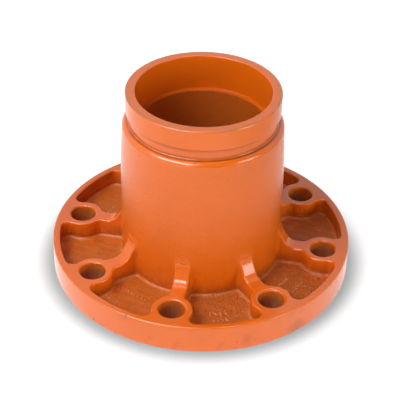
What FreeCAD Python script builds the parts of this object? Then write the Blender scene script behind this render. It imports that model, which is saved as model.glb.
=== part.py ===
import FreeCAD, Part
import math
import os
from FreeCAD import Vector

# Grooved flange adapter, 4 inch (DN 100), one iron casting.
# The origin is the middle of the flange's mating face and +Z runs up the barrel.

# Grooved end for 4 inch pipe
lip_d = 113.6
lip_w = 15.5
rim_break = 1.0
groove_w = 8.8
groove_depth = 2.0

# Barrel, stepped out below the groove and swelling a little towards the flange
height = 148.6
shoulder_step = 2.4
shoulder_break = 2.9
swell = 1.9
swell_h = 38.0
swell_round = 500.0

# Passage: cast straight from the mating face, then a machined counterbore
lip_wall = 7.3
counterbore_depth = 28.0
ledge_w = 3.1

# Flange, whose reaches make the Class 150 bolt circle of 190.5 and the 228.6 outside
flange_t = 22.2
flange_break = 1.0
bolt_count = 8
bolt_hole_d = 19.05
hole_break = 1.2
barrel_to_bolt = 34.15
bolt_to_edge = 19.05

# Recesses cast between the ribs and the bolt bosses
floor_t = 7.6
rim_w = 5.4
boss_wall = 5.475
rib_w = 11.4
tail_round = 5.8
neck_round = 5.5
corner_round = 2.5
brow_break = 1.0

# Gusset from each rib up the barrel
gusset_run = 8.4
gusset_rise = 14.0
gusset_root = 3.0
gusset_foot_round = 3.6

# Heights, radii and slopes that follow from the sizes above
lip_r = lip_d / 2
groove_r = lip_r - groove_depth
shoulder_r = lip_r + shoulder_step
barrel_r = shoulder_r + swell
counterbore_r = lip_r - lip_wall
bore_r = counterbore_r - ledge_w
lip_z = height - lip_w
shoulder_z = lip_z - groove_w
swell_z = shoulder_z - swell_h
ledge_z = height - counterbore_depth
bolt_r = barrel_r + barrel_to_bolt
boss_r = bolt_hole_d / 2 + boss_wall
flange_r = bolt_r + bolt_to_edge
recess_r = flange_r - rim_w
bolt_pitch_deg = 360.0 / bolt_count
gusset_slope = gusset_rise / gusset_run
centre = Vector(0, 0, 0)
axis_z = Vector(0, 0, 1)


def arc(middle, start, end):
    """Edge of the shorter arc from start to end about a middle."""
    radius = (start - middle).Length
    half_way = middle + (start + end - middle * 2).normalize() * radius
    return Part.Arc(start, half_way, end).toShape()


def line(start, end):
    """Straight edge."""
    return Part.LineSegment(start, end).toShape()


def rounded_wire(corners):
    """Closed outline of straight sides; each corner is (point, rounding radius)."""
    edges, starts, ends = [], [], []
    for i, (point, radius) in enumerate(corners):
        to_last = (corners[i - 1][0] - point).normalize()
        to_next = (corners[(i + 1) % len(corners)][0] - point).normalize()
        start, end = point, point
        if radius:
            half_angle = to_last.getAngle(to_next) / 2
            start = point + to_last * (radius / math.tan(half_angle))
            end = point + to_next * (radius / math.tan(half_angle))
            middle = point + (to_last + to_next).normalize() * (radius / math.sin(half_angle))
            edges.append(arc(middle, start, end))
        starts.append(start)
        ends.append(end)
    for i, end in enumerate(ends):
        edges.append(line(end, starts[(i + 1) % len(corners)]))
    return Part.Wire(Part.sortEdges(edges)[0])


def rings(shape, radius, z):
    """Circular edges of one radius at one height, wherever their middles lie."""
    found = []
    for edge in shape.Edges:
        ring = edge.Curve
        if isinstance(ring, Part.Circle) and abs(ring.Axis.z) > 0.999:
            if abs(ring.Radius - radius) < 0.001 and abs(ring.Center.z - z) < 0.001:
                found.append(edge)
    return found


def turned_body():
    """Flange, barrel, grooved end and passage as one turned section with its edges broken."""
    section = [
        (bore_r, 0, 0),
        (flange_r, 0, 0),
        (flange_r, flange_t, 0),
        (recess_r, flange_t, 0),
        (recess_r, floor_t, 0),
        (barrel_r, floor_t, 0),
        (barrel_r, swell_z, swell_round),
        (shoulder_r, shoulder_z, 0),
        (groove_r, shoulder_z, 0),
        (groove_r, lip_z, 0),
        (lip_r, lip_z, 0),
        (lip_r, height, 0),
        (counterbore_r, height, 0),
        (counterbore_r, ledge_z, 0),
        (bore_r, ledge_z, 0),
    ]
    outline = rounded_wire([(Vector(r, 0, z), rounding) for r, z, rounding in section])
    body = Part.Face(outline).revolve(centre, axis_z, 360)
    breaks = [
        (flange_r, flange_t, flange_break),
        (shoulder_r, shoulder_z, shoulder_break),
        (lip_r, height, rim_break),
    ]
    for radius, z, size in breaks:
        body = body.makeChamfer(size, rings(body, radius, z))
    return body


def patterned(shape, first_deg):
    """Copies of a shape round the axis, one for each bolt."""
    row = []
    for k in range(bolt_count):
        copy = shape.copy()
        copy.rotate(centre, axis_z, first_deg + k * bolt_pitch_deg)
        row.append(copy)
    return row


def mirrored(point):
    """The same point on the other side of the X axis."""
    return Vector(point.x, -point.y, point.z)


def web_outline():
    """Plan of one rib, its boss and the tails that run into the rim, lying along X."""
    half_w = rib_w / 2
    boss = Vector(bolt_r, 0, 0)
    neck_y = half_w + neck_round
    neck = Vector(bolt_r - math.sqrt((boss_r + neck_round) ** 2 - neck_y ** 2), neck_y, 0)
    reach, span = recess_r - tail_round, boss_r + tail_round
    tail_x = (bolt_r ** 2 + reach ** 2 - span ** 2) / (2 * bolt_r)
    tail = Vector(tail_x, math.sqrt(reach ** 2 - tail_x ** 2), 0)
    root = Vector(barrel_r - gusset_root, half_w, 0)
    neck_start = Vector(neck.x, half_w, 0)
    neck_end = boss + (neck - boss).normalize() * boss_r
    tail_start = boss + (tail - boss).normalize() * boss_r
    tail_end = tail * (recess_r / reach)
    in_rim = tail_end * ((recess_r + rim_w / 2) / recess_r)
    edges = [line(mirrored(root), root), line(mirrored(in_rim), in_rim)]
    for side in (Vector, mirrored):
        edges.append(line(side(root), side(neck_start)))
        edges.append(arc(side(neck), side(neck_start), side(neck_end)))
        edges.append(arc(side(boss), side(neck_end), side(tail_start)))
        edges.append(arc(side(tail), side(tail_start), side(tail_end)))
        edges.append(line(side(tail_end), side(in_rim)))
    return Part.Wire(Part.sortEdges(edges)[0])


def gusset():
    """Gusset on the rib that lies along X, as wide as the rib and rooted in the barrel."""
    root_r = barrel_r - gusset_root
    root_z = flange_t + gusset_rise + gusset_root * gusset_slope
    side = [
        (Vector(root_r, 0, floor_t), 0),
        (Vector(bolt_r, 0, floor_t), 0),
        (Vector(bolt_r, 0, flange_t), 0),
        (Vector(barrel_r + gusset_run, 0, flange_t), gusset_foot_round),
        (Vector(root_r, 0, root_z), 0),
    ]
    outline = Part.Face(rounded_wire(side))
    outline.translate(Vector(0, -rib_w / 2, 0))
    return outline.extrude(Vector(0, rib_w, 0))


def spoke():
    """Rib, boss and gusset at one bolt hole."""
    web = Part.Face(web_outline()).extrude(Vector(0, 0, flange_t))
    return web.fuse(gusset()).removeSplitter()


def halfway(edge):
    """Point halfway along an edge."""
    return edge.valueAt((edge.FirstParameter + edge.LastParameter) / 2)


def from_axis(point):
    """Distance of a point from the axis."""
    return math.hypot(point.x, point.y)


def up_parts(shape, edge):
    """Upward parts of the outward normals of the two faces that meet at an edge."""
    found = []
    for face in shape.ancestorsOfType(edge, Part.Face):
        u, v = face.Surface.parameter(halfway(edge))
        found.append(face.normalAt(u, v).z)
    return sorted(found)


def brow_edges(shape):
    """Top edges of the recess walls and the sloping edges of the gussets."""
    found = []
    for edge in shape.Edges:
        point = halfway(edge)
        if point.z < flange_t - 0.001 or not barrel_r + 0.5 < from_axis(point) < recess_r + 0.5:
            continue
        normals = up_parts(shape, edge)
        if len(normals) == 2 and abs(normals[0]) < 0.2 and normals[1] > 0.3:
            found.append(edge)
    return found


def corner_edges(shape):
    """Upright corners between the ribs and the barrel, from the recess floors up the gussets."""
    found = []
    for edge in shape.Edges:
        heights = [vertex.Point.z for vertex in edge.Vertexes]
        if min(heights) < floor_t + 0.001 and max(heights) > flange_t:
            if abs(from_axis(halfway(edge)) - barrel_r) < 0.001:
                found.append(edge)
    return found


def casting():
    """Turned body with its spokes, the edges of the recesses broken and their corners rounded."""
    shape = turned_body().fuse(patterned(spoke(), bolt_pitch_deg / 2)).removeSplitter()
    shape = shape.makeChamfer(brow_break, brow_edges(shape))
    return shape.makeFillet(corner_round, corner_edges(shape))


def flange_adapter():
    """The casting with its bolt holes drilled on the bolt circle, straddling the X and Y axes."""
    drill = Part.makeCylinder(bolt_hole_d / 2, flange_t + 2, Vector(bolt_r, 0, -1))
    drilled = casting().cut(patterned(drill, bolt_pitch_deg / 2))
    return drilled.makeChamfer(hole_break, rings(drilled, bolt_hole_d / 2, flange_t))


os.makedirs("parts", exist_ok=True)
adapter = flange_adapter()
solid = adapter.Solids[0]
solid.exportStep("parts/flange_adapter.step")
print("flange_adapter: valid", adapter.isValid(), "solids", len(adapter.Solids), "faces", len(solid.Faces))
print("volume %.1f cm3, mass in ductile iron %.2f kg" % (solid.Volume / 1000, solid.Volume * 7.1e-6))
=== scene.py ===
import math
import bmesh
import bpy
import numpy as np
from mathutils import Matrix, Vector


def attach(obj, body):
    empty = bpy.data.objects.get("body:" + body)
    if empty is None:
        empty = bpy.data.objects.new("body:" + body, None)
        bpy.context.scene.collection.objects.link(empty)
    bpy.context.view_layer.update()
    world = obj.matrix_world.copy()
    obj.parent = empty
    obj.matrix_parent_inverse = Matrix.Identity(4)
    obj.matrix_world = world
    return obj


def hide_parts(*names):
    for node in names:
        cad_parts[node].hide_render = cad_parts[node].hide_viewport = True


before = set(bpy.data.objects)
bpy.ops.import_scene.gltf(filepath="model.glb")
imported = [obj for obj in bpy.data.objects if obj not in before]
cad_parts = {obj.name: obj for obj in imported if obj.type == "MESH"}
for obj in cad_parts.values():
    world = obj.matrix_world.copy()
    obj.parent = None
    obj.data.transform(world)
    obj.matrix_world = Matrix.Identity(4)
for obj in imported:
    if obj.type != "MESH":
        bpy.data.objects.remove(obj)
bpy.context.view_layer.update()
print("frame loaded")

# Sizes of the casting in metres, as on its drawing, with the soft roundings of the painted surface
casting = {
    "flangeRadius": 0.1143, "flangeTop": 0.0222, "flangeRounding": 0.0012, "footRounding": 0.0009,
    "recessRadius": 0.1089, "floorTop": 0.0076, "coveRounding": 0.0022, "browRounding": 0.0013,
    "ribHalf": 0.0057, "bossRadius": 0.015, "boltRadius": 0.09525, "holeRadius": 0.009525, "holeRounding": 0.0019,
    "neckRounding": 0.0055, "tailRounding": 0.0058, "cornerRounding": 0.003,
    "gussetRun": 0.0084, "gussetTop": 0.0362, "gussetFootRounding": 0.004,
    "barrelRadius": 0.0611, "bendHeight": 0.0863, "bendSoftness": 0.011, "shoulderRadius": 0.0592,
    "shoulderHeight": 0.1243, "shoulderRounding": 0.004, "grooveRadius": 0.0548, "grooveRounding": 0.001,
    "lipRadius": 0.0568, "lipFoot": 0.1331, "lipRounding": 0.0008, "height": 0.1486, "rimRounding": 0.0012,
    "boreRadius": 0.0464, "counterboreRadius": 0.0495, "ledgeHeight": 0.1206, "ledgeRounding": 0.0006,
    "ledgeCove": 0.001, "mouthRounding": 0.0009,
    # uneven sand-cast floors: (waves per metre along x, along y, phase, depth)
    "floorWaves": [(310, 130, 0.4, 1.5e-4), (-170, 360, 2.1, 1.5e-4), (620, -410, 4.4, 1e-4), (460, 730, 1.3, 7e-5)],
    "voxel": 0.00095, "triangles": 205000, "pulls": 5, "longestPull": 0.0015, "leastSlope": 0.05,
    # the turned upper part: its seam, the gap to it, the spacing of its rings and how many go round
    "seam": 0.058, "seamGap": 0.0012, "ringStep": 0.002, "barrelRings": 20, "boreRings": 14, "barrelTop": 0.1191,
    "segments": 256,
    # cast roughness by place, and the (start, end) in metres over which each mask fades in
    "skin": {
        "recessRoughness": 0.22, "barrelRoughness": 0.4, "boreRoughness": 0.9, "ledgeRoughness": 0.35,
        "holeRoughness": 0.75, "margin": 0.0003, "holeMargin": 0.0006, "topMargin": 0.001, "barrelMargin": 0.0008,
        "shoulderMargin": 0.003, "boreMargin": 0.0004, "ledgeMargin": 0.0005, "ledgeReach": 0.0009,
        "mouthMargin": 0.001, "turnedAbove": 0.003, "outsideMargin": 0.0012, "onFloor": (0.0042, 0.0008),
        # painted shade in hollows and corners, then the painted highlight along the floor coves
        "hollowReach": 0.0045, "nearWall": (0.0526, 0.5789), "footStart": (0.0016, 0.0028),
        "footEnd": (0.0125, 0.0045), "openShade": 0.35, "outerWall": (-0.0025, -0.0005),
        "outerFoot": (0.001, 0.003), "outerShade": 0.5, "shadeHeight": 0.004, "highlightHeight": 0.0008,
        "highlightReach": (0.0009, 0.0), "highlightHollow": 0.12, "inside": (0.0, -0.0006),
        "ledgeStart": (-0.00035, -0.00015), "ledgeEnd": (0.0024, 0.0014), "insideDull": 0.7, "holeDull": 0.95},
}


def roundJoin(a, b, radius):
    # union of two distances with a fillet of this radius
    u, v = np.maximum(radius - a, 0), np.maximum(radius - b, 0)
    return np.maximum(radius, np.minimum(a, b)) - np.hypot(u, v)


def roundMeet(a, b, radius):
    # overlap of two distances with a rounded edge of this radius
    return -roundJoin(-a, -b, radius)


def filletedPlan(first, second, hub, hubRadius, startPoint, endPoint, u, v):
    # the smaller of two plan distances, with a true arc about the hub between its two tangent points
    a = (startPoint[0] - hub[0], startPoint[1] - hub[1])
    b = (endPoint[0] - hub[0], endPoint[1] - hub[1])
    du, dv = u - hub[0], v - hub[1]
    turn = math.copysign(1, a[0] * b[1] - a[1] * b[0])
    between = ((a[0] * dv - a[1] * du) * turn > 0) & ((du * b[1] - dv * b[0]) * turn > 0)
    return np.where(between, hubRadius - np.hypot(du, dv), np.minimum(first, second))


def webPlan(u, v, r, s):
    # ribs, bosses, tails and rim seen from above, in the frame of the nearest bolt hole
    rib, boss, rim = v - s["ribHalf"], np.hypot(u - s["boltRadius"], v) - s["bossRadius"], s["recessRadius"] - r
    rib = np.maximum(rib, u - s["boltRadius"])
    neckV = s["ribHalf"] + s["neckRounding"]
    neck = (s["boltRadius"] - math.sqrt((s["bossRadius"] + s["neckRounding"]) ** 2 - neckV ** 2), neckV)
    onBoss = s["bossRadius"] / (s["bossRadius"] + s["neckRounding"])
    neckEnd = (s["boltRadius"] + (neck[0] - s["boltRadius"]) * onBoss, neckV * onBoss)
    plan = filletedPlan(rib, boss, neck, s["neckRounding"], (neck[0], s["ribHalf"]), neckEnd, u, v)
    reach, span = s["recessRadius"] - s["tailRounding"], s["bossRadius"] + s["tailRounding"]
    tailU = (s["boltRadius"] ** 2 + reach ** 2 - span ** 2) / (2 * s["boltRadius"])
    tail = (tailU, math.sqrt(reach ** 2 - tailU ** 2))
    onBoss = s["bossRadius"] / span
    tailStart = (s["boltRadius"] + (tail[0] - s["boltRadius"]) * onBoss, tail[1] * onBoss)
    tailEnd = (tail[0] * s["recessRadius"] / reach, tail[1] * s["recessRadius"] / reach)
    return filletedPlan(plan, rim, tail, s["tailRounding"], tailStart, tailEnd, u, v)


def barrelRadius(z, s):
    # the barrel draws in softly towards its shoulder
    drawIn = (s["barrelRadius"] - s["shoulderRadius"]) / (s["shoulderHeight"] - s["bendHeight"])
    above = z - s["bendHeight"]
    return s["barrelRadius"] - drawIn * 0.5 * (above + np.hypot(above, s["bendSoftness"]))


def castingDistance(p, s):
    # signed distance to the painted surface, negative in the iron
    x, y, z = p[:, 0], p[:, 1], p[:, 2]
    r = np.hypot(x, y)
    pitch = math.pi / 4
    turn = np.mod(np.arctan2(y, x), pitch) - pitch / 2
    u, v = r * np.cos(turn), np.abs(r * np.sin(turn))
    rise = (s["gussetTop"] - s["flangeTop"]) / s["gussetRun"]
    slope = (z - s["gussetTop"] + (u - s["barrelRadius"]) * rise) / math.hypot(1, rise)
    top = roundJoin(z - s["flangeTop"], slope, s["gussetFootRounding"])
    web = roundMeet(webPlan(u, v, r, s), top, s["browRounding"])
    barrel = roundMeet(r - barrelRadius(z, s), z - s["shoulderHeight"], s["shoulderRounding"])
    lip = roundMeet(r - s["lipRadius"], s["lipFoot"] - z, s["lipRounding"])
    pipe = roundJoin(barrel, roundJoin(lip, r - s["grooveRadius"], s["grooveRounding"]), s["grooveRounding"])
    pipe = roundMeet(pipe, z - s["height"], s["rimRounding"])
    wall = roundJoin(pipe, web, s["cornerRounding"])
    floorTop = s["floorTop"] + sum(depth * np.sin(kx * x + ky * y + phase) for kx, ky, phase, depth in s["floorWaves"])
    iron = roundJoin(wall, z - floorTop, s["coveRounding"])
    iron = roundMeet(iron, r - s["flangeRadius"], s["flangeRounding"])
    iron = roundMeet(iron, -z, s["footRounding"])
    counterbore = roundJoin(s["counterboreRadius"] - r, z - s["ledgeHeight"], s["ledgeCove"])
    passage = roundMeet(s["boreRadius"] - r, counterbore, s["ledgeRounding"])
    iron = roundMeet(iron, passage, s["mouthRounding"])
    hole = s["holeRadius"] - np.hypot(u - s["boltRadius"], v)
    return roundMeet(iron, hole, s["holeRounding"])


def gradient(p, s, step=2e-5):
    slopes = []
    for axis in range(3):
        shift = np.zeros(3)
        shift[axis] = step
        slopes.append((castingDistance(p + shift, s) - castingDistance(p - shift, s)) / (2 * step))
    return np.stack(slopes, axis=1)


def pulledOn(p, s):
    # moves points to the surface along its slope
    for _ in range(s["pulls"]):
        g = gradient(p, s)
        size = np.maximum((g * g).sum(axis=1), s["leastSlope"])
        step = castingDistance(p, s) / size
        p = p - g * np.clip(step, -s["longestPull"], s["longestPull"])[:, None]
    return p


def fade(values, limits):
    # a straight step from 0 at the first limit to 1 at the second
    return np.clip((values - limits[0]) / (limits[1] - limits[0]), 0, 1)


maskNames = ("paintedShade", "paintedHighlight", "outside", "rough", "turned", "inside", "dull", "holes")


def surfaceMasks(p, normals, s):
    # where shade is painted into hollows and corners and a highlight is painted along the floor coves, how rough the
    # skin was cast, and where it was turned or is dull
    k = s["skin"]
    hollow = 1 - castingDistance(p + normals * k["hollowReach"], s) / k["hollowReach"]
    r, z = np.hypot(p[:, 0], p[:, 1]), p[:, 2]
    pitch = math.pi / 4
    turn = np.mod(np.arctan2(p[:, 1], p[:, 0]), pitch) - pitch / 2
    fromHole = np.hypot(r * np.cos(turn) - s["boltRadius"], r * np.sin(turn))
    aboveFloor, aboveLedge = z - s["floorTop"], z - s["ledgeHeight"]
    belowTop = z < s["flangeTop"] - k["topMargin"]
    inHole = (fromHole < s["holeRadius"] + k["holeMargin"]) & belowTop
    recess = (r < s["recessRadius"] + k["margin"]) & (r > s["barrelRadius"] - k["margin"]) & belowTop
    barrel = (r > s["lipRadius"]) & (r < s["barrelRadius"] + k["barrelMargin"])
    barrel = barrel & (z > s["flangeTop"]) & (z < s["shoulderHeight"] - k["shoulderMargin"])
    inBore = (r < s["counterboreRadius"]) & (aboveLedge < -k["boreMargin"])
    nearLedge = r < s["counterboreRadius"] + k["ledgeMargin"]
    onLedge = nearLedge & (np.abs(aboveLedge - k["ledgeMargin"]) < k["ledgeReach"])
    rough = np.where(recess, k["recessRoughness"] + (1 - k["recessRoughness"]) * fade(aboveFloor, k["onFloor"]), 0)
    for place, name in ((barrel, "barrelRoughness"), (inBore, "boreRoughness"), (onLedge, "ledgeRoughness"),
                        (inHole, "holeRoughness")):
        rough = np.where(place, k[name], rough)
    turned = (r < s["counterboreRadius"] + k["mouthMargin"]) & (aboveLedge > k["turnedAbove"])
    turned = turned | (z > s["height"] - k["topMargin"])
    nearWall = fade(hollow, k["nearWall"])
    foot = fade(aboveFloor, k["footStart"]) * fade(aboveFloor, k["footEnd"])
    outer = fade(r - s["recessRadius"], k["outerWall"]) * fade(aboveFloor, k["outerFoot"])
    # painted shade: in the recesses darker low on the walls, more so close to other walls and along the outer wall;
    # elsewhere darker near walls above the flange
    recessShade = np.maximum(foot * (k["openShade"] + (1 - k["openShade"]) * nearWall), outer * k["outerShade"])
    above = (z > s["flangeTop"] + k["shadeHeight"]) & (r > s["counterboreRadius"] + k["mouthMargin"])
    paintedShade = np.where(recess, recessShade, nearWall * above)
    # painted highlight: a pale line along the cove where the floor meets the walls
    paintedHighlight = fade(np.abs(aboveFloor - k["highlightHeight"]), k["highlightReach"]) * recess * (hollow > k["highlightHollow"])
    inside = fade(aboveLedge, k["inside"]) * (r < s["counterboreRadius"])
    ledge = fade(aboveLedge, k["ledgeStart"]) * fade(aboveLedge, k["ledgeEnd"]) * nearLedge
    dull = np.maximum(np.maximum(inside * k["insideDull"], ledge), inHole * k["holeDull"])
    outside = r > s["lipRadius"] - k["outsideMargin"]
    return dict(zip(maskNames, (np.clip(paintedShade, 0, 1), paintedHighlight, outside, rough, turned, inside, dull, inHole)))


def meshPoints(mesh):
    flat = np.empty(len(mesh.vertices) * 3, dtype=np.float32)
    mesh.vertices.foreach_get("co", flat)
    return flat.reshape(-1, 3).astype(np.float64)


def withModifier(piece, kind, values):
    # the piece's mesh after one modifier, with the modifier taken off again
    modifier = piece.modifiers.new(kind.lower(), kind)
    for name, value in values.items():
        setattr(modifier, name, value)
    return settled(piece, modifier)


def settled(piece, modifier):
    graph = bpy.context.evaluated_depsgraph_get()
    mesh = bpy.data.meshes.new_from_object(piece.evaluated_get(graph))
    piece.modifiers.remove(modifier)
    old = piece.data
    piece.data = mesh
    bpy.data.meshes.remove(old)
    return mesh


def addMask(mesh, name, values):
    mesh.attributes.new(name, "FLOAT", "POINT").data.foreach_set("value", np.asarray(values, dtype=np.float32))


def turnedSection(s):
    # section of the turned upper part from the seam up, over the rim and down the passage, as (radius, height)
    foot = s["seam"] + s["seamGap"]
    section = [(barrelRadius(z, s), z) for z in np.linspace(foot, s["barrelTop"], s["barrelRings"])]
    corners = [(s["shoulderRadius"], s["shoulderHeight"], s["shoulderRounding"], 9),
               (s["grooveRadius"], s["shoulderHeight"], s["grooveRounding"], 4),
               (s["grooveRadius"], s["lipFoot"], s["grooveRounding"], 4),
               (s["lipRadius"], s["lipFoot"], s["lipRounding"], 5),
               (s["lipRadius"], s["height"], s["rimRounding"], 7),
               (s["counterboreRadius"], s["height"], s["mouthRounding"], 7),
               (s["counterboreRadius"], s["ledgeHeight"], s["ledgeCove"], 7),
               (s["boreRadius"], s["ledgeHeight"], s["ledgeRounding"], 5)]
    ends = [Vector(section[-1])] + [Vector(corner[:2]) for corner in corners]
    ends.append(Vector((s["boreRadius"], foot)))
    last = ends[0]
    for i, (radius, z, rounding, steps) in enumerate(corners):
        corner = Vector((radius, z))
        toLast, toNext = (ends[i] - corner).normalized(), (ends[i + 2] - corner).normalized()
        halfAngle = toLast.angle(toNext) / 2
        middle = corner + (toLast + toNext).normalized() * (rounding / math.sin(halfAngle))
        start = corner + toLast * (rounding / math.tan(halfAngle)) - middle
        stop = corner + toNext * (rounding / math.tan(halfAngle)) - middle
        arc = [middle + (start * (1 - t) + stop * t).normalized() * rounding for t in np.linspace(0, 1, steps)]
        between = int((arc[0] - last).length / s["ringStep"])
        section += [tuple(last.lerp(arc[0], (k + 1) / (between + 1))) for k in range(between)]
        section += [tuple(point) for point in arc]
        last = arc[-1]
    section += [tuple(last.lerp(ends[-1], (k + 1) / s["boreRings"])) for k in range(s["boreRings"])]
    return section


def openLoops(solid, height, reach, s):
    # the open rings of edges near one height, outer and inner
    rings = [edge for edge in solid.edges if edge.is_boundary and abs(edge.verts[0].co.z - height) < reach]
    outer = [edge for edge in rings if math.hypot(*edge.verts[0].co.xy) > s["grooveRadius"]]
    return outer, [edge for edge in rings if edge not in set(outer)]


def withTurnedTop(mesh, s):
    # cuts the mesh at the seam and puts the turned upper part on it
    solid = bmesh.new()
    solid.from_mesh(mesh)
    geometry = solid.verts[:] + solid.edges[:] + solid.faces[:]
    bmesh.ops.bisect_plane(solid, geom=geometry, dist=1e-6, plane_co=(0, 0, s["seam"]), plane_no=(0, 0, 1),
                           clear_outer=True)
    lower = openLoops(solid, s["seam"], s["seamGap"] / 4, s)
    turns = [2 * math.pi * k / s["segments"] for k in range(s["segments"])]
    rings = [[solid.verts.new((r * math.cos(a), r * math.sin(a), z)) for a in turns] for r, z in turnedSection(s)]
    for below, above in zip(rings, rings[1:]):
        for k in range(s["segments"]):
            solid.faces.new((below[k - 1], below[k], above[k], above[k - 1]))
    upper = openLoops(solid, s["seam"] + s["seamGap"], s["seamGap"] / 12, s)
    for low, high in zip(lower, upper):
        bmesh.ops.bridge_loops(solid, edges=low + high)
    bmesh.ops.triangulate(solid, faces=[face for face in solid.faces if len(face.verts) > 4])
    bmesh.ops.recalc_face_normals(solid, faces=solid.faces[:])
    print("turned top:", len(rings), "rings, open edges left:", sum(edge.is_boundary for edge in solid.edges))
    solid.to_mesh(mesh)
    solid.free()


def makeCasting(s):
    solid = bmesh.new()
    solid.from_mesh(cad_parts["flange_adapter"].data)
    bmesh.ops.remove_doubles(solid, verts=solid.verts, dist=1e-6)
    mesh = bpy.data.meshes.new("castingStart")
    solid.to_mesh(mesh)
    solid.free()
    piece = bpy.data.objects.new("casting", mesh)
    bpy.context.scene.collection.objects.link(piece)
    mesh = withModifier(piece, "REMESH", {"mode": "VOXEL", "voxel_size": s["voxel"]})
    mesh.vertices.foreach_set("co", pulledOn(meshPoints(mesh), s).astype(np.float32).ravel())
    triangles = sum(len(face.vertices) - 2 for face in mesh.polygons)
    mesh = withModifier(piece, "DECIMATE", {"ratio": s["triangles"] / triangles})
    withTurnedTop(mesh, s)
    points = pulledOn(meshPoints(mesh), s)
    mesh.vertices.foreach_set("co", points.astype(np.float32).ravel())
    mesh.update()
    normals = gradient(points, s)
    normals /= np.linalg.norm(normals, axis=1)[:, None]
    for name, values in surfaceMasks(points, normals, s).items():
        addMask(mesh, name, values)
    mesh.polygons.foreach_set("use_smooth", np.ones(len(mesh.polygons), dtype=bool))
    mesh.normals_split_custom_set_from_vertices(normals.astype(np.float32))
    thinned = sum(len(face.vertices) - 2 for face in mesh.polygons)
    print("casting:", triangles, "triangles before thinning,", thinned, "after")
    return piece


def addNode(tree, kind, inputs=None, **settings):
    # a node whose inputs are linked to sockets or set to plain values
    node = tree.nodes.new(kind)
    for name, value in settings.items():
        setattr(node, name, value)
    for name, value in (inputs or {}).items():
        if isinstance(value, bpy.types.NodeSocket):
            tree.links.new(value, node.inputs[name])
        else:
            node.inputs[name].default_value = value
    return node


def newGroup(name, kind, inputs, outputs):
    # a node group with named sockets; gives its tree, its input sockets and its output node
    tree = bpy.data.node_groups.new(name, kind)
    for label, socketType, value in inputs:
        socket = tree.interface.new_socket(label, in_out="INPUT", socket_type=socketType)
        if value is not None:
            socket.default_value = value
    for label, socketType in outputs:
        tree.interface.new_socket(label, in_out="OUTPUT", socket_type=socketType)
    return tree, tree.nodes.new("NodeGroupInput").outputs, tree.nodes.new("NodeGroupOutput")


def math2(tree, operation, a, b=0.0):
    return addNode(tree, "ShaderNodeMath", {0: a, 1: b}, operation=operation).outputs[0]


def ramp(tree, value, low, high, start=0.0, end=1.0):
    # a soft step of a value from one level to another
    node = addNode(tree, "ShaderNodeMapRange", {0: value, 1: low, 2: high, 3: start, 4: end},
                   interpolation_type="SMOOTHSTEP")
    return node.outputs[0]


def mixColour(tree, factor, a, b, blend="MIX"):
    return addNode(tree, "ShaderNodeMix", {0: factor, 6: a, 7: b}, data_type="RGBA", blend_type=blend).outputs[2]


def times(tree, *factors):
    product = factors[0]
    for factor in factors[1:]:
        product = math2(tree, "MULTIPLY", product, factor)
    return product


def highest(tree, values):
    top = values[0]
    for value in values[1:]:
        top = math2(tree, "MAXIMUM", top, value)
    return top


def eased(tree, value, base, gain):
    # a base level plus the value times a gain
    return math2(tree, "ADD", math2(tree, "MULTIPLY", value, gain), base)


floatSocket, vectorSocket = "NodeSocketFloat", "NodeSocketVector"


def peelGroup():
    # the small waves of thick enamel
    tree, given, result = newGroup("orangePeel", "ShaderNodeTree", [
        ("Vector", vectorSocket, None), ("Scale", floatSocket, 400.0)], [("Height", floatSocket)])
    wide = addNode(tree, "ShaderNodeTexNoise", {"Vector": given["Vector"], "Scale": given["Scale"], "Detail": 1.5})
    fineScale = math2(tree, "MULTIPLY", given["Scale"], 2.7)
    fine = addNode(tree, "ShaderNodeTexNoise", {"Vector": given["Vector"], "Scale": fineScale, "Detail": 1.0})
    height = math2(tree, "ADD", wide.outputs["Fac"], math2(tree, "MULTIPLY", fine.outputs["Fac"], 0.35))
    tree.links.new(height, result.inputs["Height"])
    return tree


def grainGroup():
    # the sand of the mould, with the pits where dirt stays
    tree, given, result = newGroup("castGrain", "ShaderNodeTree", [
        ("Vector", vectorSocket, None), ("Scale", floatSocket, 600.0)],
        [("Height", floatSocket), ("Pits", floatSocket)])
    lumps = addNode(tree, "ShaderNodeTexNoise", {
        "Vector": given["Vector"], "Scale": given["Scale"], "Detail": 4.0, "Roughness": 0.68})
    sandScale = math2(tree, "MULTIPLY", given["Scale"], 2.1)
    sand = addNode(tree, "ShaderNodeTexVoronoi", {"Vector": given["Vector"], "Scale": sandScale})
    grains = math2(tree, "MULTIPLY", math2(tree, "SUBTRACT", 1.0, sand.outputs["Distance"]), 0.45)
    tree.links.new(math2(tree, "ADD", lumps.outputs["Fac"], grains), result.inputs["Height"])
    tree.links.new(ramp(tree, lumps.outputs["Fac"], 0.46, 0.3), result.inputs["Pits"])
    return tree


def mottleGroup():
    # soft cloudy patches
    tree, given, result = newGroup("softMottle", "ShaderNodeTree", [
        ("Vector", vectorSocket, None), ("Scale", floatSocket, 40.0), ("Low", floatSocket, 0.4),
        ("High", floatSocket, 0.6)], [("Mask", floatSocket)])
    cloud = addNode(tree, "ShaderNodeTexNoise", {"Vector": given["Vector"], "Scale": given["Scale"], "Detail": 3.0})
    tree.links.new(ramp(tree, cloud.outputs["Fac"], given["Low"], given["High"]), result.inputs["Mask"])
    return tree


def spotGroup():
    # one ragged spot at a given place
    tree, given, result = newGroup("paintSpot", "ShaderNodeTree", [
        ("Vector", vectorSocket, None), ("Centre", vectorSocket, None), ("Radius", floatSocket, 0.001)],
        [("Mask", floatSocket)])
    away = addNode(tree, "ShaderNodeVectorMath", {0: given["Vector"], 1: given["Centre"]}, operation="DISTANCE")
    fray = addNode(tree, "ShaderNodeTexNoise", {"Vector": given["Vector"], "Scale": 900.0, "Detail": 2.0})
    ragged = math2(tree, "MULTIPLY", away.outputs["Value"], math2(tree, "ADD", fray.outputs["Fac"], 0.5))
    inner = math2(tree, "MULTIPLY", given["Radius"], 0.7)
    tree.links.new(ramp(tree, ragged, given["Radius"], inner), result.inputs["Mask"])
    return tree


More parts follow.
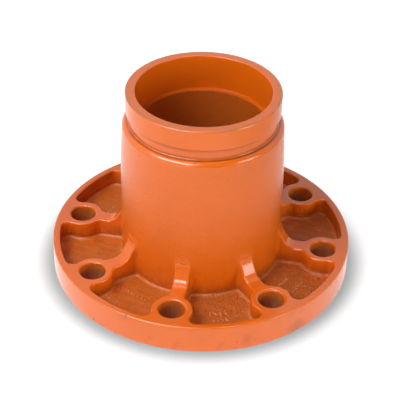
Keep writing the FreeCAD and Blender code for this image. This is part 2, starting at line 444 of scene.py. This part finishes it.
def speckGroup():
    # tiny specks thinly scattered
    tree, given, result = newGroup("scatteredSpecks", "ShaderNodeTree", [
        ("Vector", vectorSocket, None), ("Scale", floatSocket, 120.0), ("Size", floatSocket, 0.08),
        ("Share", floatSocket, 0.1)], [("Mask", floatSocket)])
    cell = addNode(tree, "ShaderNodeTexVoronoi", {"Vector": given["Vector"], "Scale": given["Scale"]})
    chosen = math2(tree, "LESS_THAN", cell.outputs["Color"], given["Share"])
    near = ramp(tree, cell.outputs["Distance"], given["Size"], math2(tree, "MULTIPLY", given["Size"], 0.5))
    tree.links.new(math2(tree, "MULTIPLY", chosen, near), result.inputs["Mask"])
    return tree


def ringGroup():
    # the fine rings that a lathe tool leaves
    tree, given, result = newGroup("turnedRings", "ShaderNodeTree", [
        ("Vector", vectorSocket, None), ("Scale", floatSocket, 1500.0)], [("Height", floatSocket)])
    parts = addNode(tree, "ShaderNodeSeparateXYZ", {0: given["Vector"]})
    flat = addNode(tree, "ShaderNodeCombineXYZ", {0: parts.outputs[0], 1: parts.outputs[1]})
    radius = addNode(tree, "ShaderNodeVectorMath", {0: flat.outputs[0]}, operation="LENGTH").outputs["Value"]
    along = math2(tree, "ADD", radius, parts.outputs[2])
    rings = addNode(tree, "ShaderNodeTexNoise", {"W": along, "Scale": given["Scale"], "Detail": 1.0},
                    noise_dimensions="1D")
    tree.links.new(rings.outputs["Fac"], result.inputs["Height"])
    return tree


effects = {name: make() for name, make in {
    "peel": peelGroup, "grain": grainGroup, "mottle": mottleGroup, "spot": spotGroup, "specks": speckGroup,
    "rings": ringGroup}.items()}
print("shader groups ready")


def effect(tree, name, vector, output, **values):
    # one of the shared groups placed in a material
    node = addNode(tree, "ShaderNodeGroup", node_tree=effects[name])
    tree.links.new(vector, node.inputs["Vector"])
    for label, value in values.items():
        node.inputs[label].default_value = value
    return node.outputs[output]


# Orange enamel over cast iron; colours are linear
enamel = {
    "colour": (0.76, 0.138, 0.004, 1), "thinColour": (0.74, 0.135, 0.004, 1), "floorColour": (0.54, 0.14, 0.012, 1),
    "boreColour": (0.47, 0.1, 0.001, 1), "holeColour": (0.46, 0.16, 0.07, 1), "dirtColour": (0.085, 0.03, 0.008, 1),
    # painted shade for hollows, corners and the ledge band, then the colour of worn edges
    "shadeColour": (0.25, 0.058, 0.005, 1), "edgeColour": (0.30, 0.17, 0.06, 1),
    # painted highlight for grain crests, floor coves and cast marks, then a darker mottle
    "highlightColour": (0.84, 0.34, 0.13, 1), "mottleColour": (0.50, 0.085, 0.002, 1),
    "chipColour": (0.035, 0.022, 0.014, 1), "primerColour": (0.09, 0.11, 0.075, 1),
    "smudgeColour": (0.34, 0.07, 0.012, 1),
    "clouds": {"thin": {"Scale": 38, "Low": 0.42, "High": 0.66}, "patchy": {"Scale": 110, "Low": 0.3, "High": 0.62},
               "worn": {"Scale": 70, "Low": 0.36, "High": 0.6}, "smudged": {"Scale": 62, "Low": 0.54, "High": 0.74},
               "glossy": {"Scale": 150, "Low": 0.3, "High": 0.7}},
    "fineMottle": {"Scale": 900, "Low": 0.35, "High": 0.65}, "specks": {"Scale": 110, "Size": 0.055, "Share": 0.12},
    "flattening": (1, 1, 2.2),
    # heights in metres and mask levels between which a layer fades in
    "holeDepths": (0.0195, 0.0125), "sideHeights": (0.0215, 0.0205), "ledgeHeights": (0.1202, 0.1207),
    "lipLines": (0.1332, 0.1482), "lineReach": (0.0007, 0.0002), "crestLevels": (0.82, 1.0),
    "roughLevels": (0.42, 0.85), "smoothLevels": (0.1, 0.0), "skinLevels": (0.2, 0.4),
    # how strongly each layer covers, as one share or as a base and a gain
    "browned": (0.6, 0.4), "holeTone": (0.25, 1.0), "coveHighlight": (0.2, 0.3), "cornerShade": (0.65, 0.35),
    "fineTone": (0.05, 0.42), "sandiness": (0.3, 0.7), "pitDirt": 0.5, "crestHighlight": 0.5, "lineWear": 0.55,
    "smudgeTone": 0.45, "ledgeShade": 0.24, "speckTone": 0.8,
    "roughness": 0.15, "cloudRoughness": 0.03, "castRoughness": 0.32, "skinRoughness": 0.13, "speckRoughness": 0.4,
    "specular": 0.5, "dullLoss": 0.42, "dryLoss": 0.22, "leastSpecular": 0.05,
    "peelScale": 520, "peelDepth": 0.00008, "castPeel": 2.8, "paintWaves": 2.0, "grainScale": 360,
    "grainDepth": 0.0013, "speckDepth": 0.2, "ringScale": 1500, "ringDepth": 0.00003,
    # places in metres and radii of the sandiest floors, of single chips and of bare spots
    "sandyPlaces": [((0.008, -0.086, 0.0076), 0.036), ((0.062, -0.060, 0.0076), 0.034)], "sandyCore": 0.6,
    "chips": [((-0.0515, -0.0241, 0.1434), 0.0005), ((0.0087, -0.0561, 0.1453), 0.0005),
              ((-0.0910, -0.0692, 0.0031), 0.0009), ((0.0064, -0.1141, 0.0074), 0.0005),
              ((-0.0285, -0.0510, 0.1219), 0.0004), ((0.0130, -0.0577, 0.1180), 0.0005)],
    "primerChips": [((0.0420, -0.0373, 0.1484), 0.0008), ((-0.0778, -0.0802, 0.0222), 0.0008),
                    ((-0.0697, -0.0902, 0.0218), 0.0010)],
}


def enamelSockets(tree, s):
    # the coordinates, masks and patterns that the layers share
    place = addNode(tree, "ShaderNodeTexCoord").outputs["Object"]
    flat = addNode(tree, "ShaderNodeVectorMath", {0: place, 1: s["flattening"]}, operation="MULTIPLY").outputs[0]
    given = {label: addNode(tree, "ShaderNodeAttribute", attribute_name=label).outputs["Fac"] for label in maskNames}
    given.update({label: effect(tree, "mottle", place, "Mask", **values) for label, values in s["clouds"].items()})
    near = []
    for centre, radius in s["sandyPlaces"]:
        away = addNode(tree, "ShaderNodeVectorMath", {0: place, 1: centre}, operation="DISTANCE").outputs["Value"]
        near.append(ramp(tree, away, radius, radius * s["sandyCore"]))
    chips, bare = ([effect(tree, "spot", place, "Mask", Centre=centre, Radius=radius) for centre, radius in s[kind]]
                   for kind in ("chips", "primerChips"))
    given.update({
        "place": place, "flat": flat, "height": addNode(tree, "ShaderNodeSeparateXYZ", {0: place}).outputs[2],
        "grain": effect(tree, "grain", place, "Height", Scale=s["grainScale"]),
        "veryRough": ramp(tree, given["rough"], *s["roughLevels"]),
        "sandiness": eased(tree, highest(tree, near), *s["sandiness"]), "bare": highest(tree, bare),
        "specks": highest(tree, [effect(tree, "specks", place, "Mask", **s["specks"])] + chips)})
    given["pits"] = given["grain"].node.outputs["Pits"]
    given["dry"] = times(tree, given["veryRough"], math2(tree, "SUBTRACT", 1.0, given["inside"]))
    given["marred"] = math2(tree, "MAXIMUM", given["specks"], given["bare"])
    return given


def enamelColour(tree, given, s):
    # paint under its layers of brown floors, dirt, painted highlights on crests and coves, painted shade in hollows,
    # corners and on the ledge, wear and chips
    height, patchy = given["height"], given["patchy"]
    sandy = times(tree, given["dry"], given["sandiness"])
    fromLines = [math2(tree, "ABSOLUTE", math2(tree, "SUBTRACT", height, level)) for level in s["lipLines"]]
    lines = ramp(tree, math2(tree, "MINIMUM", *fromLines), *s["lineReach"])
    onSide = times(tree, ramp(tree, height, *s["sideHeights"]), ramp(tree, given["rough"], *s["smoothLevels"]))
    deep = times(tree, given["holes"], ramp(tree, height, *s["holeDepths"]))
    fine = effect(tree, "mottle", given["flat"], "Mask", **s["fineMottle"])
    layers = [
        (given["thin"], "thinColour"),
        (times(tree, given["veryRough"], eased(tree, patchy, *s["browned"])), "floorColour"),
        (given["inside"], "boreColour"),
        (times(tree, deep, eased(tree, patchy, *s["holeTone"])), "holeColour"),
        (times(tree, given["pits"], sandy, s["pitDirt"]), "dirtColour"),
        # painted highlight on the crests of the sand grain
        (times(tree, ramp(tree, given["grain"], *s["crestLevels"]), sandy, s["crestHighlight"]), "highlightColour"),
        # painted highlight along the floor coves and on the cast marks
        (times(tree, given["paintedHighlight"], eased(tree, patchy, *s["coveHighlight"])), "highlightColour"),
        # painted shade in hollows and corners
        (times(tree, given["paintedShade"], eased(tree, patchy, *s["cornerShade"])), "shadeColour"),
        (times(tree, fine, eased(tree, given["rough"], *s["fineTone"])), "mottleColour"),
        (times(tree, lines, given["outside"], given["worn"], s["lineWear"]), "edgeColour"),
        (times(tree, given["smudged"], onSide, s["smudgeTone"]), "smudgeColour"),
        # painted shade on the ledge band in the passage
        (times(tree, ramp(tree, height, *s["ledgeHeights"]), given["dull"], s["ledgeShade"]), "shadeColour"),
        (times(tree, given["specks"], s["speckTone"]), "chipColour"),
        (given["bare"], "primerColour"),
    ]
    colour = s["colour"]
    for cover, name in layers:
        colour = mixColour(tree, cover, colour, s[name])
    return colour


def enamelRoughness(tree, given, s):
    roughness = eased(tree, given["glossy"], s["roughness"], s["cloudRoughness"])
    for mask, gain in (("veryRough", s["castRoughness"] - s["roughness"]), ("rough", s["skinRoughness"]),
                       ("marred", s["speckRoughness"])):
        roughness = math2(tree, "ADD", roughness, times(tree, given[mask], gain))
    return roughness


def enamelRelief(tree, given, s):
    # waves of the paint, rings of the turned faces, then the sand of the mould and the chips
    castSkin = eased(tree, ramp(tree, given["rough"], *s["skinLevels"]), 1.0, s["castPeel"])
    peel = times(tree, effect(tree, "peel", given["flat"], "Height", Scale=s["peelScale"]), castSkin)
    peel = math2(tree, "ADD", peel, times(tree, given["thin"], s["paintWaves"]))
    rings = times(tree, effect(tree, "rings", given["place"], "Height", Scale=s["ringScale"]), given["turned"])
    sandShare = math2(tree, "MAXIMUM", given["sandiness"], math2(tree, "SUBTRACT", 1.0, given["veryRough"]))
    sand = times(tree, given["grain"], given["rough"], given["rough"], sandShare)
    sand = math2(tree, "SUBTRACT", sand, times(tree, given["marred"], s["speckDepth"]))
    normal = None
    for height, depth in ((peel, s["peelDepth"]), (rings, s["ringDepth"]), (sand, s["grainDepth"])):
        inputs = {"Height": height, "Distance": depth, "Strength": 1.0}
        normal = addNode(tree, "ShaderNodeBump", inputs if normal is None else {**inputs, "Normal": normal}).outputs[0]
    return normal


def enamelMaterial(name, s):
    material = bpy.data.materials.new(name)
    material.use_nodes = True
    tree = material.node_tree
    shader = tree.nodes["Principled BSDF"]
    given = enamelSockets(tree, s)
    specular = eased(tree, given["dull"], s["specular"], -s["dullLoss"])
    specular = math2(tree, "SUBTRACT", specular, times(tree, given["dry"], s["dryLoss"]))
    specular = math2(tree, "MAXIMUM", specular, s["leastSpecular"])
    tree.links.new(enamelColour(tree, given, s), shader.inputs["Base Color"])
    tree.links.new(enamelRoughness(tree, given, s), shader.inputs["Roughness"])
    tree.links.new(specular, shader.inputs["Specular IOR Level"])
    tree.links.new(enamelRelief(tree, given, s), shader.inputs["Normal"])
    return material


# Rows of raised foundry marks on the recess floors: angles in degrees, lengths in metres
castMarks = {
    # the marks have cast roughness and the painted highlight over all of them
    "sink": 0.0001, "segments": 14, "rings": 8, "shortest": 0.45, "masks": {"rough": 0.7, "paintedHighlight": 1.0},
    "rows": [
        {"radius": 0.0782, "start": -147.5, "sweep": 16.0, "count": 8, "length": 0.0036, "width": 0.0015,
         "height": 0.00088, "skew": 0.5, "seed": 3},
        {"radius": 0.0935, "start": -146.0, "sweep": 9.0, "count": 5, "length": 0.0026, "width": 0.0014,
         "height": 0.00064, "skew": 0.7, "seed": 8},
        {"radius": 0.0825, "start": -95.0, "sweep": 8.0, "count": 4, "length": 0.0060, "width": 0.0018,
         "height": 0.00096, "skew": 0.5, "seed": 5},
        {"radius": 0.0900, "start": -93.5, "sweep": 6.0, "count": 4, "length": 0.0043, "width": 0.0018,
         "height": 0.00096, "skew": 0.6, "seed": 11},
        {"radius": 0.0765, "start": -52.0, "sweep": 10.0, "count": 6, "length": 0.0041, "width": 0.0014,
         "height": 0.00080, "skew": 0.8, "seed": 2},
        {"radius": 0.0885, "start": -53.0, "sweep": 12.0, "count": 6, "length": 0.0036, "width": 0.0015,
         "height": 0.00080, "skew": 0.6, "seed": 9},
        {"radius": 0.0860, "start": 134.0, "sweep": 9.0, "count": 5, "length": 0.0036, "width": 0.0016,
         "height": 0.00080, "skew": 0.6, "seed": 6},
    ],
    # the fine raised line across the front floor: centre, turn in radians, length, width, height
    "line": {"centre": (0.0099, -0.0878), "turn": 0.46, "length": 0.0205, "width": 0.0007, "height": 0.00045,
             "segments": 16, "rings": 8},
}


def markRowTree():
    # strokes set out along an arc, each a little turned and scaled
    tree, given, result = newGroup("castMarkRow", "GeometryNodeTree", [
        ("Geometry", "NodeSocketGeometry", None), ("Radius", floatSocket, 0.08), ("Start", floatSocket, 0.0),
        ("Sweep", floatSocket, 0.2), ("Count", "NodeSocketInt", 6), ("Length", floatSocket, 0.003),
        ("Width", floatSocket, 0.001), ("Height", floatSocket, 0.0005), ("Skew", floatSocket, 0.5),
        ("Floor", floatSocket, 0.0), ("Seed", "NodeSocketInt", 0), ("Material", "NodeSocketMaterial", None)],
        [("Geometry", "NodeSocketGeometry")])
    arc = addNode(tree, "GeometryNodeCurveArc", {"Resolution": 24, "Radius": given["Radius"],
                                                 "Start Angle": given["Start"], "Sweep Angle": given["Sweep"]})
    dots = addNode(tree, "GeometryNodeCurveToPoints", {0: arc.outputs[0], "Count": given["Count"]}, mode="COUNT")
    lift = addNode(tree, "ShaderNodeCombineXYZ", {2: given["Floor"]})
    raised = addNode(tree, "GeometryNodeSetPosition", {"Geometry": dots.outputs[0], "Offset": lift.outputs[0]})
    spot = addNode(tree, "ShaderNodeSeparateXYZ", {0: addNode(tree, "GeometryNodeInputPosition").outputs[0]})
    around = math2(tree, "ARCTAN2", spot.outputs[1], spot.outputs[0])
    backSkew = math2(tree, "MULTIPLY", given["Skew"], -1.0)
    skew = addNode(tree, "FunctionNodeRandomValue", {2: backSkew, 3: given["Skew"], "Seed": given["Seed"]},
                   data_type="FLOAT").outputs[1]
    turn = addNode(tree, "ShaderNodeCombineXYZ", {2: math2(tree, "ADD", around, skew)})
    stretch = addNode(tree, "FunctionNodeRandomValue", {2: castMarks["shortest"], 3: 1.0, "Seed": given["Seed"]},
                      data_type="FLOAT").outputs[1]
    longSide = math2(tree, "MULTIPLY", math2(tree, "MULTIPLY", given["Length"], 0.5), stretch)
    size = addNode(tree, "ShaderNodeCombineXYZ", {
        0: longSide, 1: math2(tree, "MULTIPLY", given["Width"], 0.5), 2: given["Height"]})
    dome = addNode(tree, "GeometryNodeMeshUVSphere", {
        "Segments": castMarks["segments"], "Rings": castMarks["rings"], "Radius": 1.0})
    strokes = addNode(tree, "GeometryNodeInstanceOnPoints", {
        "Points": raised.outputs[0], "Instance": dome.outputs[0], "Rotation": turn.outputs[0],
        "Scale": size.outputs[0]})
    real = addNode(tree, "GeometryNodeRealizeInstances", {0: strokes.outputs[0]})
    smooth = addNode(tree, "GeometryNodeSetShadeSmooth", {"Geometry": real.outputs[0]})
    coated = addNode(tree, "GeometryNodeSetMaterial", {"Geometry": smooth.outputs[0],
                                                       "Material": given["Material"]})
    tree.links.new(coated.outputs[0], result.inputs["Geometry"])
    return tree


def grownMesh(name, tree, values):
    # the plain mesh that a node tree makes from these named values
    piece = bpy.data.objects.new(name, bpy.data.meshes.new(name))
    bpy.context.scene.collection.objects.link(piece)
    modifier = piece.modifiers.new(name, "NODES")
    modifier.node_group = tree
    for item in tree.interface.items_tree:
        if item.in_out == "INPUT" and item.name in values:
            modifier[item.identifier] = values[item.name]
    return piece, settled(piece, modifier)


def makeCastMarks(s, material):
    tree = markRowTree()
    floor = casting["floorTop"] - s["sink"]
    joined = bmesh.new()
    for row in s["rows"]:
        piece, mesh = grownMesh("castMarkRow", tree, {
            "Radius": row["radius"], "Start": math.radians(row["start"]), "Sweep": math.radians(row["sweep"]),
            "Count": row["count"], "Length": row["length"], "Width": row["width"], "Height": row["height"],
            "Skew": row["skew"], "Floor": floor, "Seed": row["seed"], "Material": material})
        joined.from_mesh(mesh)
        bpy.data.objects.remove(piece)
    line = s["line"]
    shape = (Matrix.Translation((*line["centre"], floor)) @ Matrix.Rotation(line["turn"], 4, "Z")
             @ Matrix.Diagonal((line["length"] / 2, line["width"] / 2, line["height"], 1)))
    bmesh.ops.create_uvsphere(joined, u_segments=line["segments"], v_segments=line["rings"], radius=1, matrix=shape)
    for face in joined.faces:
        face.smooth = True
    mesh = bpy.data.meshes.new("castMarks")
    joined.to_mesh(mesh)
    joined.free()
    for name, value in (dict.fromkeys(maskNames, 0.0) | s["masks"]).items():
        addMask(mesh, name, np.full(len(mesh.vertices), value))
    mesh.materials.append(material)
    marks = bpy.data.objects.new("castMarks", mesh)
    bpy.context.scene.collection.objects.link(marks)
    print("cast marks:", len(mesh.polygons), "faces")
    return marks


# White table and white room; the gloss sees the table, the wall behind it and the soft lamps
studio = {
    "floorSize": 6, "floorColour": (0.93, 0.93, 0.93, 1), "contactReach": 0.027, "contactLevels": (0.5, 0.98),
    "contactColour": (0.35, 0.385, 0.395, 1), "ownGlow": 0.88, "litShare": 0.34,
    # what the gloss sees: the table from left to right, and the walls from front to back
    "glossPlaces": (0.06, 0.26), "glossFade": (1.25, 0.62), "wallPlaces": (-0.5, 0.25), "wallFade": (0.0, 1.2),
    "roomLeft": 1.05, "roomFront": 0.66, "aim": (0, 0, 0.05),
    # soft lamps by azimuth and elevation in degrees, distance and size in metres and power in watts
    "lamps": [
        {"name": "leftSoft", "azimuth": -150, "elevation": 50, "distance": 1.4, "size": (0.6, 0.5), "power": 7.8,
         "shines": False},
        {"name": "highSoft", "azimuth": 180, "elevation": 60, "distance": 1.4, "size": (0.6, 0.5), "power": 2.6,
         "shines": False},
        {"name": "rightSoft", "azimuth": -38, "elevation": 13, "distance": 1.4, "size": (0.6, 0.5), "power": 7.8,
         "shines": False},
        {"name": "leftBox", "azimuth": -143, "elevation": 47, "distance": 1.2, "size": (1.25, 0.6), "power": 11.0,
         "shines": True},
        {"name": "leftCore", "azimuth": -143, "elevation": 40, "distance": 1.2, "size": (0.7, 0.25), "power": 11.0,
         "shines": True},
        {"name": "leftLow", "azimuth": -165, "elevation": 20, "distance": 1.2, "size": (0.6, 0.3), "power": 1.2,
         "shines": True},
        {"name": "rightBox", "azimuth": -40, "elevation": 19, "distance": 1.2, "size": (0.5, 0.45), "power": 5.5,
         "shines": True},
        {"name": "overheadBox", "azimuth": 80, "elevation": 82, "distance": 1.2, "size": (0.6, 0.6), "power": 4.5,
         "shines": True},
    ],
}


def makeFloor(s):
    half = s["floorSize"] / 2
    mesh = bpy.data.meshes.new("tableTop")
    corners = [(-half, -half, 0), (half, -half, 0), (half, half, 0), (-half, half, 0)]
    mesh.from_pydata(corners, [], [(0, 1, 2, 3)])
    floor = bpy.data.objects.new("tableTop", mesh)
    bpy.context.scene.collection.objects.link(floor)
    material = bpy.data.materials.new("whiteTable")
    material.use_nodes = True
    tree = material.node_tree
    tree.nodes.remove(tree.nodes["Principled BSDF"])
    path = addNode(tree, "ShaderNodeLightPath").outputs
    # the camera sees it white but for the soft shadow round the flange, the gloss sees it paler at the left
    openness = addNode(tree, "ShaderNodeAmbientOcclusion", {"Distance": s["contactReach"]}).outputs["AO"]
    white = (1, 1, 1, 1)
    contact = mixColour(tree, ramp(tree, openness, *s["contactLevels"]), s["contactColour"], white)
    across = addNode(tree, "ShaderNodeSeparateXYZ", {0: addNode(tree, "ShaderNodeTexCoord").outputs["Object"]})
    fade = ramp(tree, across.outputs[0], *s["glossPlaces"], *s["glossFade"])
    tone = mixColour(tree, path["Is Glossy Ray"], contact, fade)
    glow = addNode(tree, "ShaderNodeEmission", {"Color": tone, "Strength": s["ownGlow"]})
    share = s["litShare"]
    litTone = mixColour(tree, 1.0, tone, (share, share, share, 1), "MULTIPLY")
    lit = addNode(tree, "ShaderNodeBsdfDiffuse", {"Color": litTone})
    bright = addNode(tree, "ShaderNodeAddShader", {0: glow.outputs[0], 1: lit.outputs[0]})
    plain = addNode(tree, "ShaderNodeBsdfDiffuse", {"Color": s["floorColour"]})
    seen = math2(tree, "MAXIMUM", path["Is Camera Ray"], path["Is Glossy Ray"])
    seen = math2(tree, "MAXIMUM", seen, path["Is Transmission Ray"])
    shown = addNode(tree, "ShaderNodeMixShader", {0: seen, 1: plain.outputs[0], 2: bright.outputs[0]})
    tree.links.new(shown.outputs[0], tree.nodes["Material Output"].inputs["Surface"])
    mesh.materials.append(material)


def makeRoom(s):
    world = bpy.data.worlds.new("whiteRoom")
    bpy.context.scene.world = world
    world.use_nodes = True
    tree = world.node_tree
    tree.nodes.clear()
    white = (1, 1, 1, 1)
    path = addNode(tree, "ShaderNodeLightPath").outputs
    direction = addNode(tree, "ShaderNodeSeparateXYZ", {0: addNode(tree, "ShaderNodeTexCoord").outputs["Generated"]})
    toLeft = math2(tree, "MAXIMUM", math2(tree, "MULTIPLY", direction.outputs[0], -s["roomLeft"]), 0.0)
    toFront = math2(tree, "MAXIMUM", math2(tree, "MULTIPLY", direction.outputs[1], -s["roomFront"]), 0.0)
    dim = addNode(tree, "ShaderNodeBackground", {"Color": white, "Strength": math2(tree, "ADD", toLeft, toFront)})
    walls = ramp(tree, direction.outputs[1], *s["wallPlaces"], *s["wallFade"])
    glossy = addNode(tree, "ShaderNodeBackground", {"Color": white, "Strength": walls})
    clear = addNode(tree, "ShaderNodeBackground", {"Color": white, "Strength": 1.0})
    lit = addNode(tree, "ShaderNodeMixShader", {0: path["Is Glossy Ray"], 1: dim.outputs[0], 2: glossy.outputs[0]})
    direct = math2(tree, "MAXIMUM", path["Is Camera Ray"], path["Is Transmission Ray"])
    shown = addNode(tree, "ShaderNodeMixShader", {0: direct, 1: lit.outputs[0], 2: clear.outputs[0]})
    tree.links.new(shown.outputs[0], addNode(tree, "ShaderNodeOutputWorld").inputs["Surface"])


def makeLamp(s, aim):
    # a soft box that either lights the casting or is only seen in its gloss
    turn, lift = math.radians(s["azimuth"]), math.radians(s["elevation"])
    away = Vector((math.cos(turn) * math.cos(lift), math.sin(turn) * math.cos(lift), math.sin(lift)))
    lamp = bpy.data.lights.new(s["name"], "AREA")
    lamp.shape = "RECTANGLE"
    lamp.size, lamp.size_y = s["size"]
    lamp.energy = s["power"]
    holder = bpy.data.objects.new(s["name"], lamp)
    holder.location = Vector(aim) + away * s["distance"]
    holder.visible_glossy, holder.visible_diffuse = s["shines"], not s["shines"]
    holder.rotation_euler = (-away).to_track_quat("-Z", "Y").to_euler()
    bpy.context.scene.collection.objects.link(holder)


# The photograph's viewing angle
view = {"aim": (0.0033, 0.0248, 0.0331), "azimuth": 10.42, "elevation": 35.76, "roll": 1.1,
        "distance": 0.9656, "lens": 110.23}


def makeCamera(s):
    turn, lift = math.radians(s["azimuth"]), math.radians(s["elevation"])
    back = Vector((-math.sin(turn) * math.cos(lift), -math.cos(turn) * math.cos(lift), math.sin(lift)))
    right = Vector((math.cos(turn), -math.sin(turn), 0))
    up = back.cross(right)
    frameAxes = Matrix((right, up, back)).transposed().to_4x4()
    camera = bpy.data.cameras.new("photoView")
    camera.sensor_fit = "HORIZONTAL"
    camera.sensor_width = 36
    camera.lens = s["lens"]
    camera.clip_end = 50
    holder = bpy.data.objects.new("photoView", camera)
    bpy.context.scene.collection.objects.link(holder)
    holder.matrix_world = (Matrix.Translation(Vector(s["aim"]) + back * s["distance"]) @ frameAxes
                           @ Matrix.Rotation(math.radians(s["roll"]), 4, "Z"))
    bpy.context.scene.camera = holder


castPiece = makeCasting(casting)
paint = enamelMaterial("orangeEnamel", enamel)
castPiece.data.materials.clear()
castPiece.data.materials.append(paint)
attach(castPiece, "root")
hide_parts("flange_adapter")

marksPiece = makeCastMarks(castMarks, paint)
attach(marksPiece, "root")

makeFloor(studio)
makeRoom(studio)
for lampValues in studio["lamps"]:
    makeLamp(lampValues, studio["aim"])
makeCamera(view)
bpy.context.scene.view_settings.view_transform = "Standard"
print("studio ready")
